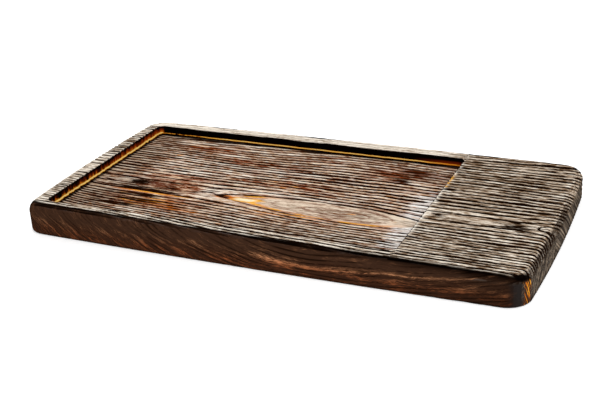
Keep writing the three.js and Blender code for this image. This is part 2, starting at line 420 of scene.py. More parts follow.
def bow(tree, x, y, sizes):
    """How far the outline draws in towards its corners. The recess stays straight."""
    corner = sizes.corner / MM
    along_end = (y / (WIDTH / 2 - corner)).squared().least(1.0)
    along_side = (x / (LENGTH / 2 - corner)).squared().least(1.0)
    reach = from_walls(x, y, sizes).ramp(*BOW_REACH)
    in_x = x * along_end * reach * (-2 * sizes.end_bow / LENGTH)
    in_y = y * along_side * reach * (-2 * sizes.side_bow / WIDTH)
    return joined(tree, (in_x, in_y, 0.0))


def moved(tree, flow, offset):
    node = tree.nodes.new("GeometryNodeSetPosition")
    tree.links.new(flow, node.inputs["Geometry"])
    feed(node.inputs["Offset"], offset)
    return node.outputs[0]


def brushing(sizes, grain):
    """Geometry nodes that bow the outline, sink the softer wood and keep what the finish needs."""
    tree = bpy.data.node_groups.new("Brushing", "GeometryNodeTree")
    for side in ("INPUT", "OUTPUT"):
        tree.interface.new_socket("Geometry", in_out=side, socket_type="NodeSocketGeometry")
    x, y, z = (part / MM for part in split(from_node(tree, "GeometryNodeInputPosition")))
    normal = from_node(tree, "GeometryNodeInputNormal")
    end_on, side_on, up = split(normal)
    inside = from_walls(x, y, sizes)
    outside = inside.ramp(*OUT_OF_RECESS)

    ring, growth = ring_number(tree, x, y, z, sizes, grain)
    bowl = side_ring(tree, x, y, z)
    side_on = side_on.size()
    side = side_on.ramp(*SIDE_FACING) * outside
    groove = ring_groove(tree, ring, growth, x, y) * (1.0 - side) + side_groove(tree, bowl, x) * side
    low_down = (z - floor_height(sizes)).ramp(*NEAR_FLOOR) * up.ramp(*NOT_BELOW)
    hemmed = inside.ramp(*BY_WALLS) * x.ramp(*BY_LEFT_END)
    depth = (
        up.ramp(*TOP_FACING, 0.0, grain.top_depth) * (1.0 - side) * (1.0 - low_down * (1.0 - hemmed))
        + end_on.size().ramp(*END_FACING, 0.0, grain.end_depth) * outside
        + side * grain.side_depth
        + up.ramp(*UNDER_FACING, grain.under_depth, 0.0)
    )
    fibre = noise(tree, (x / 12, y / 0.9, z / 0.9)).ramp(-1.0, 1.0, 0.0, 0.16)

    flow = moved(tree, tree.nodes.new("NodeGroupInput").outputs[0], bow(tree, x, y, sizes))
    for name, value in zip(KEPT, (groove, ring, bowl, up, side_on)):
        keep = tree.nodes.new("GeometryNodeStoreNamedAttribute")
        keep.inputs["Name"].default_value = name
        tree.links.new(flow, keep.inputs["Geometry"])
        feed(keep.inputs["Value"], value)
        flow = keep.outputs[0]
    sink = tree.nodes.new("ShaderNodeVectorMath")
    sink.operation = "SCALE"
    feed(sink.inputs[0], normal)
    feed(sink.inputs["Scale"], -(depth * (groove + fibre).least(1.0)))
    flow = moved(tree, flow, Field(tree, sink.outputs[0]))
    tree.links.new(flow, tree.nodes.new("NodeGroupOutput").inputs[0])
    return tree


# Materials

# Length and thickness of each wood's fibres, and how deep they stand, in metres.
TRAY_FIBRES, TRAY_BUMP = (9.0, 0.7), 0.00016
BEECH_FIBRES, BEECH_BUMP = (5.0, 0.35), 0.00005
FIBRE_ROUGHNESS = (0.0, 1.0, 0.7, 0.5)
BEECH_SHADE = 0.62


def fibre_group():
    """Shader group: fine fibres along X, as a mask and a height, for any of the woods."""
    tree = bpy.data.node_groups.new("Wood fibres", "ShaderNodeTree")
    for name in ("Length", "Thickness"):
        tree.interface.new_socket(name, in_out="INPUT", socket_type="NodeSocketFloat")
    for name in ("Streak", "Height"):
        tree.interface.new_socket(name, in_out="OUTPUT", socket_type="NodeSocketFloat")
    inputs = tree.nodes.new("NodeGroupInput")
    long, thick = (Field(tree, socket) for socket in inputs.outputs[:2])
    x, y, z = (part / MM for part in split(from_node(tree, "ShaderNodeTexCoord", "Object")))
    coarse = noise(tree, (x / long, y / thick, z / thick), 3.0, 0.6)
    fine = noise(tree, (x / (long * 0.4), y / (thick * 0.42), z / (thick * 0.42) + 7.0), 2.0)
    outputs = tree.nodes.new("NodeGroupOutput")
    feed(outputs.inputs[0], (coarse * 0.65 + fine * 0.35).ramp(-0.85, 0.85))
    feed(outputs.inputs[1], coarse * 0.5 + fine * 0.5)
    return tree


def place_fibres(tree, group, long, thick):
    node = tree.nodes.new("ShaderNodeGroup")
    node.node_tree = group
    fill(node, {"Length": long, "Thickness": thick})
    return Field(tree, node.outputs["Streak"]), Field(tree, node.outputs["Height"])


def new_material(name):
    material = bpy.data.materials.new(name)
    material.use_nodes = True
    return material, material.node_tree, material.node_tree.nodes["Principled BSDF"]


def finish_surface(tree, shader, base, roughness, height, bump):
    """Sets colour, roughness and a bump of the given depth in metres."""
    node = tree.nodes.new("ShaderNodeBump")
    fill(node, {"Strength": 1.0, "Distance": bump, "Height": height})
    fill(shader, {"Base Color": base, "Roughness": roughness, "Normal": Field(tree, node.outputs[0])})


# Patches of the recess floor: x and y of the middle, half length and half width.
RUST_BLOTS = (
    (-98, -13, 32, 10),
    (-100, 2, 18, 3),
    (-104, -42, 36, 12),
    (-18, 10, 26, 6),
    (-108, 57, 26, 6),
    (-60, 40, 34, 4),
    (45, 49, 24, 7),
)
CHAR_BLOTS = (
    (-116, -24.5, 26, 3),
    (-124, -14, 11, 4),
    (-116, -34, 26, 3),
    (-112, -42.5, 26, 2.4),
    (-122, -52, 18, 2.8),
    (55, 40, 9, 3),
    (60, 58, 14, 4),
)
SMOKE_BLOTS = (
    (-120, -15, 25, 9),
    (-122, -44, 26, 10),
    (66, 52, 16, 10),
)
# Pale patches: pale wood with painted glints of light.
GLINT_AND_PALE_BLOTS = (
    (-140, -15, 4, 10),
    (-63, -15, 10, 6),
    (-95, 11.5, 23, 2.6),
    (-10, -7, 45, 3),
    (-30, 30, 40, 3),
    (66, -24, 24, 8),
)
EMBER_BLOTS = (
    (-104, -29, 34, 2.6),
    (-87, -39, 14, 2.6),
    (-98, -46, 23, 3),
    (-68, -50, 16, 2.6),
    (0, -37, 26, 2.6),
)
EYE_LENS = (EYE_X + 6, EYE_Y, 22, 5)
EYE_HOT = (-36, -21.5, 12, 3)
EYE_TIP = (-53, -20.5, 7, 2.1)


def blot(x, y, middle_x, middle_y, half_length, half_width):
    """A soft patch that lies along the grain."""
    across = ((y - middle_y) / half_width).squared()
    return (-((x - middle_x) / half_length).squared() - across).exp()


def patches(x, y, blots, rough):
    """All the blots of one kind, with edges that fray along the grain."""
    total = blot(x, y, *blots[0])
    for spec in blots[1:]:
        total = total + blot(x, y, *spec)
    return (total + rough * 0.3).ramp(0.1, 0.6)


# Faces of the board, as the finish tells them apart.
FLOOR_LEVEL = (3.0, 1.0)
OUTER_PART = (-4.0, -8.0)
UPRIGHT_FACE = (0.5, 0.1)
BY_CORNER, BACK_HALF = (158.0, 166.0), (-5.0, 5.0)

# The black line under the top edge thickens to the right. Along the front it lies further in.
LINE_TOP, LINE_FOOT = (0.19, 0.28), (0.52, 0.38)
LINE_GROWTH = (-60.0, 140.0, 0.0, 0.22)
FRONT_INSET, FRONT_SLANT, FRONT_LEFT_END = 7.5, 0.011, (-155.0, -172.0, 0.0, 3.0)
FRONT_THINNEST, FRONT_WIDTH = -32.0, (0.0, 130.0, 1.0, 1.9)
FRONT_FACE = (0.5, -0.8)
SHADED, SHADED_END, SHADED_BY = (-6.5, -1.5), (3.0, 1.0), (-60.0, 60.0, 0.3, 0.75)

# The scrubbed front of the floor and its whitened right end.
SCRUBBED_X, SCRUBBED_Y = (-75.0, -25.0), (-38.0, -58.0)
WHITENED_X, WHITENED_BACK, WHITENED_FRONT = (64.0, 85.0), (34.0, 12.0), (-74.0, -52.0)


class Spot:
    """What the finish knows of each point: its place, its ring and the mark of the brush."""

    def __init__(self, tree, sizes, fibres):
        self.tree = tree
        x, y, z = (part / MM for part in split(from_node(tree, "ShaderNodeTexCoord", "Object")))
        self.x, self.y, self.z = x, y, z
        self.groove, self.ring, self.bowl, self.up, self.side_on = (
            from_node(tree, "ShaderNodeAttribute", "Fac", attribute_name=name) for name in KEPT
        )
        self.phase = self.ring.fraction()
        self.streak, self.fibre_height = place_fibres(tree, fibres, *TRAY_FIBRES)
        self.rough = noise(tree, (x / 16, self.ring * 1.3, y / 3), 2.0)
        self.tone = noise(tree, (x / 55, self.ring * 0.8, y / 6), 2.0)
        self.grain = noise(tree, (x / 34, y / 2.3, 9.0), 2.0)
        self.find_faces(sizes)
        self.find_edge_line()
        self.find_wear()

    def find_faces(self, sizes):
        x, y, rim = self.x, self.y, sizes.rim / MM
        self.land_start = land_start(sizes)
        self.cove = sizes.cove / MM
        self.inside = from_walls(x, y, sizes)
        self.above_floor = self.z - floor_height(sizes)
        self.from_axis = y - eye_axis(x)
        self.on_floor = self.inside.ramp(0.0, self.cove) * self.above_floor.ramp(*FLOOR_LEVEL)
        self.on_land = x.ramp(self.land_start - 1, self.land_start + 1)
        self.outside = self.inside.ramp(*OUTER_PART)
        self.upright = self.up.ramp(*UPRIGHT_FACE)
        self.by_corner = x.ramp(*BY_CORNER)
        self.off_front = y.ramp(*BACK_HALF).most(self.by_corner)
        off_land = x.ramp(self.land_start + 25, self.land_start - 20)
        self.front_rim = (y + WIDTH / 2 - rim).ramp(1.0, -1.5) * off_land
        self.back_rim = (y - WIDTH / 2 + rim).ramp(-1.0, 1.5) * off_land
        self.left_rim = (x + LENGTH / 2 - rim).ramp(0.0, -1.0)

    def find_edge_line(self):
        x, side_on = self.x, self.side_on
        level, short_of_corner = 1.0 - self.upright, 1.0 - self.by_corner
        line = (side_on - self.rough * 0.05).ramp(*LINE_TOP)
        line = line * (side_on - x.ramp(*LINE_GROWTH)).ramp(*LINE_FOOT) * self.outside * self.off_front
        front_edge = self.y + WIDTH / 2 - FRONT_INSET + x * FRONT_SLANT
        front_edge = front_edge - x.ramp(*FRONT_LEFT_END) - self.rough * 0.3
        front_line = front_edge.bell(-0.6, (x - FRONT_THINNEST).size().ramp(*FRONT_WIDTH))
        self.line = line.most(front_line * short_of_corner) * level
        self.front_side = front_edge.ramp(*FRONT_FACE) * level * short_of_corner
        # Painted shade, in soot, on the front's round-over.
        self.shaded = front_edge.ramp(*SHADED) * front_edge.ramp(*SHADED_END) * x.ramp(*SHADED_BY)

    def find_wear(self):
        x, y = self.x, self.y
        self.burnt = patches(x, y, CHAR_BLOTS, self.grain + (0.5 - self.streak) * 1.6 - 0.3)
        scrubbed = y.ramp(*SCRUBBED_Y) * x.ramp(*SCRUBBED_X)
        self.warm = self.on_floor * (1.0 - scrubbed * 0.75)
        self.whitened_end = x.ramp(*WHITENED_X) * y.ramp(*WHITENED_BACK) * y.ramp(*WHITENED_FRONT) * self.on_floor


# Ridges are more worn along the land's edge and bare at the floor's left end; painted sheen makes them
# paler towards the front and on the rims, most on the back rim.
LAND_EDGE, LAND_EDGE_BACK, LAND_EDGE_FRONT = (9.0, 0.0), (40.0, 15.0), (-60.0, -35.0)
SHEEN_TO_FRONT = (40.0, -80.0, -0.08, 0.05)
LEFT_STRIP = (-118.0, -142.0)
WHITENED_WOOD = (1.0, 0.97, 0.92)


def crests(spot, colours):
    """Worn ridges with painted sheen: toasted brown to clean fibres, and on the recess floor rust to tan
    to clean.
    """
    x, y, groove, rough = spot.x, spot.y, spot.groove, spot.rough
    streak = spot.streak.ramp(0.1, 0.9)
    by_edge = (x - spot.land_start).ramp(*LAND_EDGE) * spot.on_land
    by_edge = by_edge * y.ramp(*LAND_EDGE_BACK) * y.ramp(*LAND_EDGE_FRONT)
    # Painted sheen: crests grow paler towards the front and on the rims, most on the back rim.
    wear_and_sheen = streak + spot.tone * 0.3 - groove * 0.2 + y.ramp(*SHEEN_TO_FRONT) + by_edge * 0.35
    wear_and_sheen = wear_and_sheen + spot.back_rim * 0.7 + (spot.left_rim + spot.front_rim) * 0.3
    crest = mixed(wear_and_sheen.ramp(0.0, 0.5), colours.brown, colours.ridge)
    crest = mixed(wear_and_sheen.ramp(0.5, 1.05), crest, colours.pale_ridge_and_sheen)
    heat = streak * 1.15 + rough * 0.3 + spot.tone * 0.3 - groove * 0.35 - 0.15
    tan = mixed(heat.ramp(-0.3, 0.3), colours.rust, colours.toast)
    tan = mixed(heat.ramp(0.3, 0.85), tan, colours.pale_ridge_and_sheen)
    crest = mixed(spot.warm * spot.tone.ramp(-0.6, 0.6, 0.55, 0.95), crest, tan)

    rust = mixed((streak + rough * 0.5).ramp(0.4, 1.15), colours.rust, colours.toast)
    crest = mixed(patches(x, y, RUST_BLOTS, spot.grain) * spot.on_floor * 0.95, crest, rust)
    smoked = patches(x, y, SMOKE_BLOTS, spot.grain) * spot.on_floor * streak.ramp(0.2, 0.9, 0.7, 0.3)
    crest = mixed(smoked, crest, colours.char)
    crest = mixed(spot.burnt * spot.on_floor, crest, colours.char)
    # Pale patches, partly painted glints of light.
    pale_and_glint = mixed(streak.ramp(-0.4, 0.6), colours.toast, colours.pale_ridge_and_sheen)
    crest = mixed(patches(x, y, GLINT_AND_PALE_BLOTS, rough) * spot.on_floor * 0.9, crest, pale_and_glint)

    # Near white towards the floor's right end.
    clean = mixed((streak + rough * 0.4).ramp(-0.2, 0.5), colours.ridge, WHITENED_WOOD)
    fray = spot.grain * 0.45 + (spot.streak - 0.5) * 0.7
    lightened = (spot.whitened_end + fray - 0.15).ramp(0.1, 0.5) * spot.whitened_end.ramp(0.0, 0.2)
    crest = mixed(lightened, crest, clean)
    left_strip = (x + spot.tone * 8.0).ramp(*LEFT_STRIP) * spot.on_floor * (1.0 - spot.burnt)
    return mixed(left_strip * 0.7, crest, mixed(streak, colours.brown, colours.ridge))


# The eye's clean inside and the golden line along its lower side and round its tip.
EYE_INSIDE = (EYE_RINGS + 0.05, EYE_RINGS - 0.2)
EYE_LINE = (EYE_RINGS - 0.2, 0.22)
EYE_LOWER, EYE_TIP_HALF, EYE_LINE_END = (1.0, -4.0), (0.0, -26.0, 0.0, 0.9), (88.0, 60.0)


def with_eye(spot, colours, crest):
    """The eye, clean inside, golden along its lower side and burnt at its left tip."""
    x, y, ring = spot.x, spot.y, spot.ring
    clean = spot.streak + spot.rough * 0.2 - blot(x, y, *EYE_LENS) * 0.6 + spot.tone * 0.25
    bare = mixed(clean.ramp(-0.2, 0.7), colours.brown, colours.eye)
    crest = mixed(ring.ramp(*EYE_INSIDE) * spot.on_floor * 0.9, crest, bare)
    edge = ring.bell(*EYE_LINE) * spot.on_floor
    lower = spot.from_axis.ramp(*EYE_LOWER).most(x.ramp(*EYE_TIP_HALF)) * x.ramp(*EYE_LINE_END)
    line = (edge * lower * spot.rough.ramp(-0.9, 0.7, 0.15, 1.0)).least(1.0)
    crest = mixed(line, crest, colours.ember)
    crest = mixed(line.ramp(0.35, 0.85), crest, colours.gold)
    hot = blot(x, y, *EYE_HOT) + spot.rough * 0.25
    crest = mixed(hot.ramp(0.15, 0.4) * spot.on_floor, crest, colours.gold)
    crest = mixed(hot.ramp(0.4, 0.8) * spot.on_floor, crest, colours.cream)
    tip = blot(x, y, *EYE_TIP) + spot.rough * 0.25
    crest = mixed(tip.ramp(0.15, 0.4) * spot.on_floor, crest, colours.ember)
    return mixed(tip.ramp(0.4, 0.7) * spot.on_floor, crest, colours.char)


# Embers lie on both flanks of a groove: the middle and the width of each, in rings.
NEAR_FLANK, FAR_FLANK, HOT_FLANK = (0.3, 0.22), (0.74, 0.16), (0.32, 0.16)
OFF_EYE_AXIS, OFF_LEFT_END = (5.0, 10.0), (-146.0, -130.0)


def with_embers(spot, colours, crest):
    """Rust and orange along the edges of the floor's grooves, bright where the flame stayed."""
    x, y, rough = spot.x, spot.y, spot.rough
    apart = spot.from_axis.size().ramp(*OFF_EYE_AXIS) * spot.on_floor * x.ramp(*OFF_LEFT_END)
    edge = spot.phase.bell(*NEAR_FLANK) * apart
    other = spot.phase.bell(*FAR_FLANK) * apart
    spread = noise(spot.tree, (x / 30, spot.ring * 1.1, 8.0), 2.0)
    faint = (edge + other * 0.6) * spread.ramp(-0.4, 0.8, 0.0, 0.7)
    crest = mixed(faint.least(0.8), crest, colours.rust)
    lit = patches(x, y, EMBER_BLOTS, rough)
    ember = edge * (lit + rough.ramp(0.5, 1.5, 0.0, 0.45))
    crest = mixed(ember.least(0.95), crest, colours.ember)
    hot = spot.phase.bell(*HOT_FLANK) * apart * lit * rough.ramp(-0.3, 0.9, 0.05, 0.95)
    return mixed(hot.least(0.95), crest, colours.gold)


# Grooves hold less char at the left edge and at the back of the floor.
LEFT_EDGE, FLOOR_BACK = (-163.0, -172.0, 0.0, 0.25), (35.0, 65.0, 0.0, 0.15)

# The land's edge, worn and with a painted highlight: middle and width, then where it fades and where it
# turns golden.
WORN_LIT_EDGE, WORN_LIT_EDGE_HEIGHT = (0.7, 1.4), (3.0, 5.0)
WORN_LIT_EDGE_BACK, WORN_LIT_EDGE_FRONT = (72.0, 50.0, 0.2, 1.0), (-66.0, -36.0, 0.1, 1.0)
GOLDEN_FRONT, GOLDEN_BACK = (20.0, 27.0), (50.0, 42.0)
BLEACHED_LIT_WOOD = (1.0, 0.93, 0.82)


def with_grooves(spot, colours, crest):
    """Char in the grooves, less where the board is worn and on the back rim as painted sheen, and the
    land's worn edge with a painted highlight.
    """
    x, y, rough = spot.x, spot.y, spot.rough
    # Less char on the back rim: painted sheen.
    hold = (1.0 - spot.back_rim * 0.8) * (1.0 - x.ramp(*LEFT_EDGE))
    hold = hold * (1.0 - y.ramp(*FLOOR_BACK) * spot.on_floor)
    bare = noise(spot.tree, (x / 30, y / 7, 6.0)).ramp(-0.3, 0.5)
    hold = hold * (1.0 - spot.left_rim * bare * 0.35) * (1.0 - spot.upright * 0.5)
    sunk = spot.groove + (0.5 - spot.streak) * 0.35 + spot.on_floor * 0.03 - spot.whitened_end * 0.14
    flank = mixed(spot.warm, colours.brown, colours.rust)
    toasted = sunk.ramp(0.0, 0.25) * hold * (1.0 - spot.burnt) * (1.0 - spot.whitened_end) * 0.6
    top = mixed(toasted, crest, flank)
    deep = mixed(spot.on_floor, colours.char, colours.umber)
    top = mixed(sunk.ramp(0.14, 0.42) * hold, top, deep)
    # The land's edge: worn wood with a painted highlight.
    edge = (x - spot.land_start).bell(*WORN_LIT_EDGE) * (spot.inside + 5.0).ramp(0.0, 1.0)
    edge = edge * spot.above_floor.ramp(*WORN_LIT_EDGE_HEIGHT)
    edge = edge * y.ramp(*WORN_LIT_EDGE_BACK) * y.ramp(*WORN_LIT_EDGE_FRONT)
    golden = y.ramp(*GOLDEN_FRONT) * y.ramp(*GOLDEN_BACK) * rough.ramp(-0.4, 0.4)
    lightened = mixed(golden, BLEACHED_LIT_WOOD, colours.gold)
    return mixed(edge * (rough + spot.streak - 0.5).ramp(-0.7, 0.8, 0.1, 1.0), top, lightened)


# The recess's left wall, and the parts of the long walls where the bare line weakens.
LEFT_WALL, WEAK_LEFT, WEAK_RIGHT = (-156.0, -158.5), (-100.0, -140.0), (50.0, 78.0)
BARE_HEIGHT, BARE_WIDTH = 1.3, 0.36
BLAZE_HEIGHT, BLAZE = 2.6, (0.5, -0.3)
RED_BACK, RED_HEIGHT, RED_HEIGHT_RIGHT = (-75.0, 40.0), (6.0, 3.0), (4.5, 2.0)
ON_WALL, WALL_FACING = (-1.0, -0.5), (0.97, 0.85)
FOOT_SHADE_START, FOOT_SHADE_HEIGHT = (0.2, 0.6), (0.9, 0.6)


def with_walls(spot, colours, top):
    """Walls of the recess, burnt and in painted shade but for a bare line near the foot, with painted
    shade in the crease at the foot and flames up the left end.
    """
    x, y = spot.x, spot.y
    flare = noise(spot.tree, ((x + y) / 15, (x - y) / 15, 0.0), 3.0)
    tick = noise(spot.tree, (x / 3, y / 2.6, spot.z / 9), 3.0, 0.65)
    left = x.ramp(*LEFT_WALL)
    left_part = x.ramp(*WEAK_LEFT) * (1.0 - left)
    right_part = x.ramp(*WEAK_RIGHT)
    height = spot.above_floor - flare * 0.15 - left * tick * 0.45
    bare = (height - left * 0.25).bell(BARE_HEIGHT, left * 0.28 + BARE_WIDTH - left_part * 0.1)
    bare = bare * (1.0 - left_part * tick.ramp(-0.4, 0.6, 0.35, 0.85))
    blaze = left * (height - BLAZE_HEIGHT - tick * 1.4).ramp(*BLAZE)
    reddened = left * (y.ramp(*RED_BACK) + tick * 0.7).most(0.0) * (height - tick * 1.2).ramp(*RED_HEIGHT)
    reddened = (reddened + right_part * height.ramp(*RED_HEIGHT_RIGHT) * 0.8).least(1.0)
    # Soot on the walls: burn and painted shade.
    wall = mixed(reddened, colours.soot_and_shade, colours.scorch)
    wall = mixed(bare.ramp(0.12, 0.36).most(blaze * 0.9), wall, colours.ember)
    wall = mixed(bare.ramp(0.34, 0.56) * (1.0 - right_part * 0.7), wall, colours.gold)
    core = bare.ramp(0.55, 0.9) * (left * 0.5 + flare.ramp(-0.8, 0.6, 0.35, 0.9)).least(1.0)
    wall = mixed(core * (1.0 - right_part), wall, colours.flame)
    # Painted shade, in soot, along the wall's foot just above the floor.
    wall = mixed((height - left * tick * 0.25).ramp(0.95, 0.6), wall, colours.soot_and_shade)
    top = mixed(spot.inside.ramp(*ON_WALL) * spot.up.ramp(*WALL_FACING), top, wall)
    # Painted shade in the crease where the walls meet the floor.
    foot = spot.inside.ramp(*FOOT_SHADE_START) * spot.inside.ramp(spot.cove + 1.4, spot.cove - 0.2)
    foot = foot * spot.above_floor.ramp(*FOOT_SHADE_HEIGHT)
    return mixed(foot * 0.92, top, colours.soot_and_shade)


# Stain of the front and back: a light arc along one ring, redder low down, a smooth band on top.
ARC_RING, ARC_WIDTH, ARC_START = 3.3, (10.0, 70.0, 0.8, 0.3), (-5.0, 15.0)
GLOW_HEIGHT, SMOOTH_HEIGHT, DARK_FOOT = (12.0, 4.0, 0.1, 0.9), (10.5, 14.5), (2.5, 0.5, 0.0, 0.6)

# The ends, with painted shade under the right end's top round and along their lower edges, and the right
# corners that the flame licked.
BY_END, RIGHT_END, LOW_EDGE = (140.0, 160.0), (100.0, 140.0), (5.5, 1.5)
HOLLOW_TOP, HOLLOW_FOOT, HOLLOW_Y = (0.96, 0.8), (0.0, 0.3), (35.0, 5.0)
LICKED_START, LICKED_STOP, WORN_CORNER = (0.2, 0.34), (0.68, 0.56), (0.52, 0.72)
SHOULDER, UNDERSIDE = (0.3, 0.5), (-0.2, -0.8)


def side_stain(spot, colours):
    """Dark stain with light dashes that follow the bowls."""
    x, z, bowl = spot.x, spot.z, spot.bowl
    bent = bowl + noise(spot.tree, (x / 10, z / 5, 7.0), 2.0) * 0.35
    dashes = noise(spot.tree, (bent * 7.0, x / 6, 5.0), 5.0, 0.7)
    drift = noise(spot.tree, (bent * 0.9, x / 30, 2.0), 2.0)
    arc = bowl.bell(ARC_RING, x.ramp(*ARC_WIDTH)) * x.ramp(*ARC_START) * dashes.ramp(-0.7, 0.5, 0.1, 1.1)
    light = dashes * 0.85 + drift * 0.5 + arc
    streak = mixed(z.ramp(*GLOW_HEIGHT), colours.side_streak, colours.side_glow)
    stain = mixed(light.ramp(-0.05, 1.35), colours.side, streak)
    stain = mixed(light.ramp(-0.4, -1.4, 0.0, 0.6), stain, colours.char)
    smooth = (z + noise(spot.tree, (x / 24, 1.0, 2.0), 2.0) * 2.4).ramp(*SMOOTH_HEIGHT)
    stain = mixed(smooth * light.ramp(-0.2, 1.4, 0.95, 0.4), stain, colours.side_band)
    stain = mixed(spot.groove.ramp(0.1, 0.8, 0.0, 0.85), stain, colours.char)
    stain = mixed(z.ramp(*DARK_FOOT), stain, colours.char)
    # Painted shade across the front's round-over.
    return mixed(spot.shaded, stain, colours.soot_and_shade)


def with_ends(spot, colours, top):
    """End grain, with painted shade under the right end's top round and along the lower edges, and flames
    on the right corners.
    """
    x, y, z, side_on = spot.x, spot.y, spot.z, spot.side_on
    right = x.ramp(*RIGHT_END)
    by_end = x.size().ramp(*BY_END)
    sawn = noise(spot.tree, (spot.ring * 1.4, (z + y) / 14, 2.0), 3.0, 0.65)
    fine = noise(spot.tree, (spot.ring * 3.5, (z + y) / 5, 1.0), 2.0)
    end_grain = mixed((sawn + fine * 0.5).ramp(-0.25, 1.25), colours.slate, colours.ridge)
    top = mixed(spot.upright * spot.outside * by_end * 0.9, top, end_grain)
    # Painted shade, in char, under the right end's top round and along both ends' lower edges.
    hollow = spot.up.ramp(*HOLLOW_TOP) * spot.up.ramp(*HOLLOW_FOOT) * y.ramp(*HOLLOW_Y) * right
    shadow = hollow.most(z.ramp(*LOW_EDGE) * 0.8) * spot.outside * by_end
    top = mixed(shadow * sawn.ramp(-0.8, 0.8, 0.95, 0.55), top, colours.char)
    corner = spot.upright * spot.outside * right
    flame = noise(spot.tree, ((x + y) / 1.3 + z * 0.35, z / 12, 4.0), 1.0)
    licked = corner * side_on.ramp(*LICKED_START) * side_on.ramp(*LICKED_STOP)
    top = mixed(licked * 0.85, top, colours.side)
    top = mixed(licked * flame.ramp(0.0, 0.4), top, colours.ember)
    top = mixed(licked * flame.ramp(0.3, 0.7), top, colours.gold)
    return mixed(corner * side_on.ramp(*WORN_CORNER), top, colours.slate)


def with_sides(spot, colours, top):
    """The stain laid on the front, back and underside, and the black line under the top edge."""
    side_on, right = spot.side_on, spot.x.ramp(*RIGHT_END)
    shoulder = side_on.ramp(*SHOULDER) * (1.0 - spot.upright) * spot.off_front
    side = shoulder + side_on.ramp(right * 0.55 + 0.25, right * 0.58 + 0.42) * spot.upright
    side = (side * spot.outside + spot.front_side).least(1.0)
    base = mixed(side.most(spot.up.ramp(*UNDERSIDE)), top, side_stain(spot, colours))
    return mixed(spot.line * 0.98, base, colours.soot_and_shade)


def brushed_wood(colours, sizes, fibres):
    """The burnt and brushed softwood, laid down layer by layer."""
    material, tree, shader = new_material("Brushed burnt wood")
    spot = Spot(tree, sizes, fibres)
    base = crests(spot, colours)
    for layer in (with_eye, with_embers, with_grooves, with_walls, with_ends, with_sides):
        base = layer(spot, colours, base)
    roughness = spot.streak.ramp(*FIBRE_ROUGHNESS) + spot.groove * 0.25
    sheen = (spot.streak - spot.groove).ramp(0.3, 0.9, 0.0, 0.2) * spot.up.ramp(0.75, 0.95)
    sheen = sheen * (1.0 - spot.line) * (1.0 - spot.burnt * spot.on_floor)
    fill(shader, {"Specular IOR Level": 0.0, "Coat Roughness": 0.35, "Coat Weight": sheen})
    finish_surface(tree, shader, base, roughness, spot.fibre_height, TRAY_BUMP)
    return material


def beech(colours, fibres):
    material, tree, shader = new_material("Turned beech")
    streak, height = place_fibres(tree, fibres, *BEECH_FIBRES)
    dark = [part * BEECH_SHADE for part in colours.beech]
    base = mixed(streak, dark, colours.beech)
    finish_surface(tree, shader, base, streak.ramp(*FIBRE_ROUGHNESS), height, BEECH_BUMP)
    return material


# Modelling

# Steps of each rounded edge, and sides of a bore.
CORNER_STEPS, TOP_STEPS, BOTTOM_STEPS = 10, 8, 3
RECESS_STEPS, COVE_STEPS, ARRIS_STEPS = 8, 5, 2
BORE_SIDES = 32
SMOOTH_ANGLE = math.radians(75)

# How closely points have to meet, in metres.
SAME_HEIGHT, SAME_PLACE, SAME_CUT = 1e-6, 1e-5, 1e-7


def deselect():
    if bpy.context.object and bpy.context.object.mode != "OBJECT":
        bpy.ops.object.mode_set(mode="OBJECT")
    bpy.ops.object.select_all(action="DESELECT")


def choose(obj):
    deselect()
    obj.select_set(True)
    bpy.context.view_layer.objects.active = obj


def block(name, low, high):
    """A box between two corners, with its place in its mesh."""
    deselect()
    bpy.ops.mesh.primitive_cube_add(size=1, location=(Vector(low) + Vector(high)) / 2)
    obj = bpy.context.object
    obj.name = name
    obj.scale = Vector(high) - Vector(low)
    bpy.ops.object.transform_apply()
    return obj


def bevel_edges(obj, chosen, width, segments):
    """Rounds the edges whose two ends are chosen."""
    choose(obj)
    bpy.ops.object.mode_set(mode="EDIT")
    bpy.ops.mesh.select_mode(type="EDGE")
    bpy.ops.mesh.select_all(action="DESELECT")
    mesh = bmesh.from_edit_mesh(obj.data)
    for edge in mesh.edges:
        edge.select_set(chosen(edge.verts[0].co, edge.verts[1].co))
    bmesh.update_edit_mesh(obj.data)
    bpy.ops.mesh.bevel(offset=width, segments=segments, affect="EDGES")
    bpy.ops.object.mode_set(mode="OBJECT")


def upright(a, b):
    return abs(a.z - b.z) > SAME_HEIGHT


def level_at(height):
    return lambda a, b: abs(a.z - height) < SAME_HEIGHT and abs(b.z - height) < SAME_HEIGHT


def apply_modifier(obj, kind, **settings):
    choose(obj)
    modifier = obj.modifiers.new(kind, kind)
    for name, value in settings.items():
        setattr(modifier, name, value)
    bpy.ops.object.modifier_apply(modifier=modifier.name)


def subtract(obj, cutter):
    """Cuts one solid out of another and removes the cutter."""
    apply_modifier(obj, "BOOLEAN", operation="DIFFERENCE", solver="MANIFOLD", object=cutter)
    bpy.data.meshes.remove(cutter.data)


def scale_along_grain(obj, factor):
    choose(obj)
    obj.scale = (factor, 1, 1)
    bpy.ops.object.transform_apply()


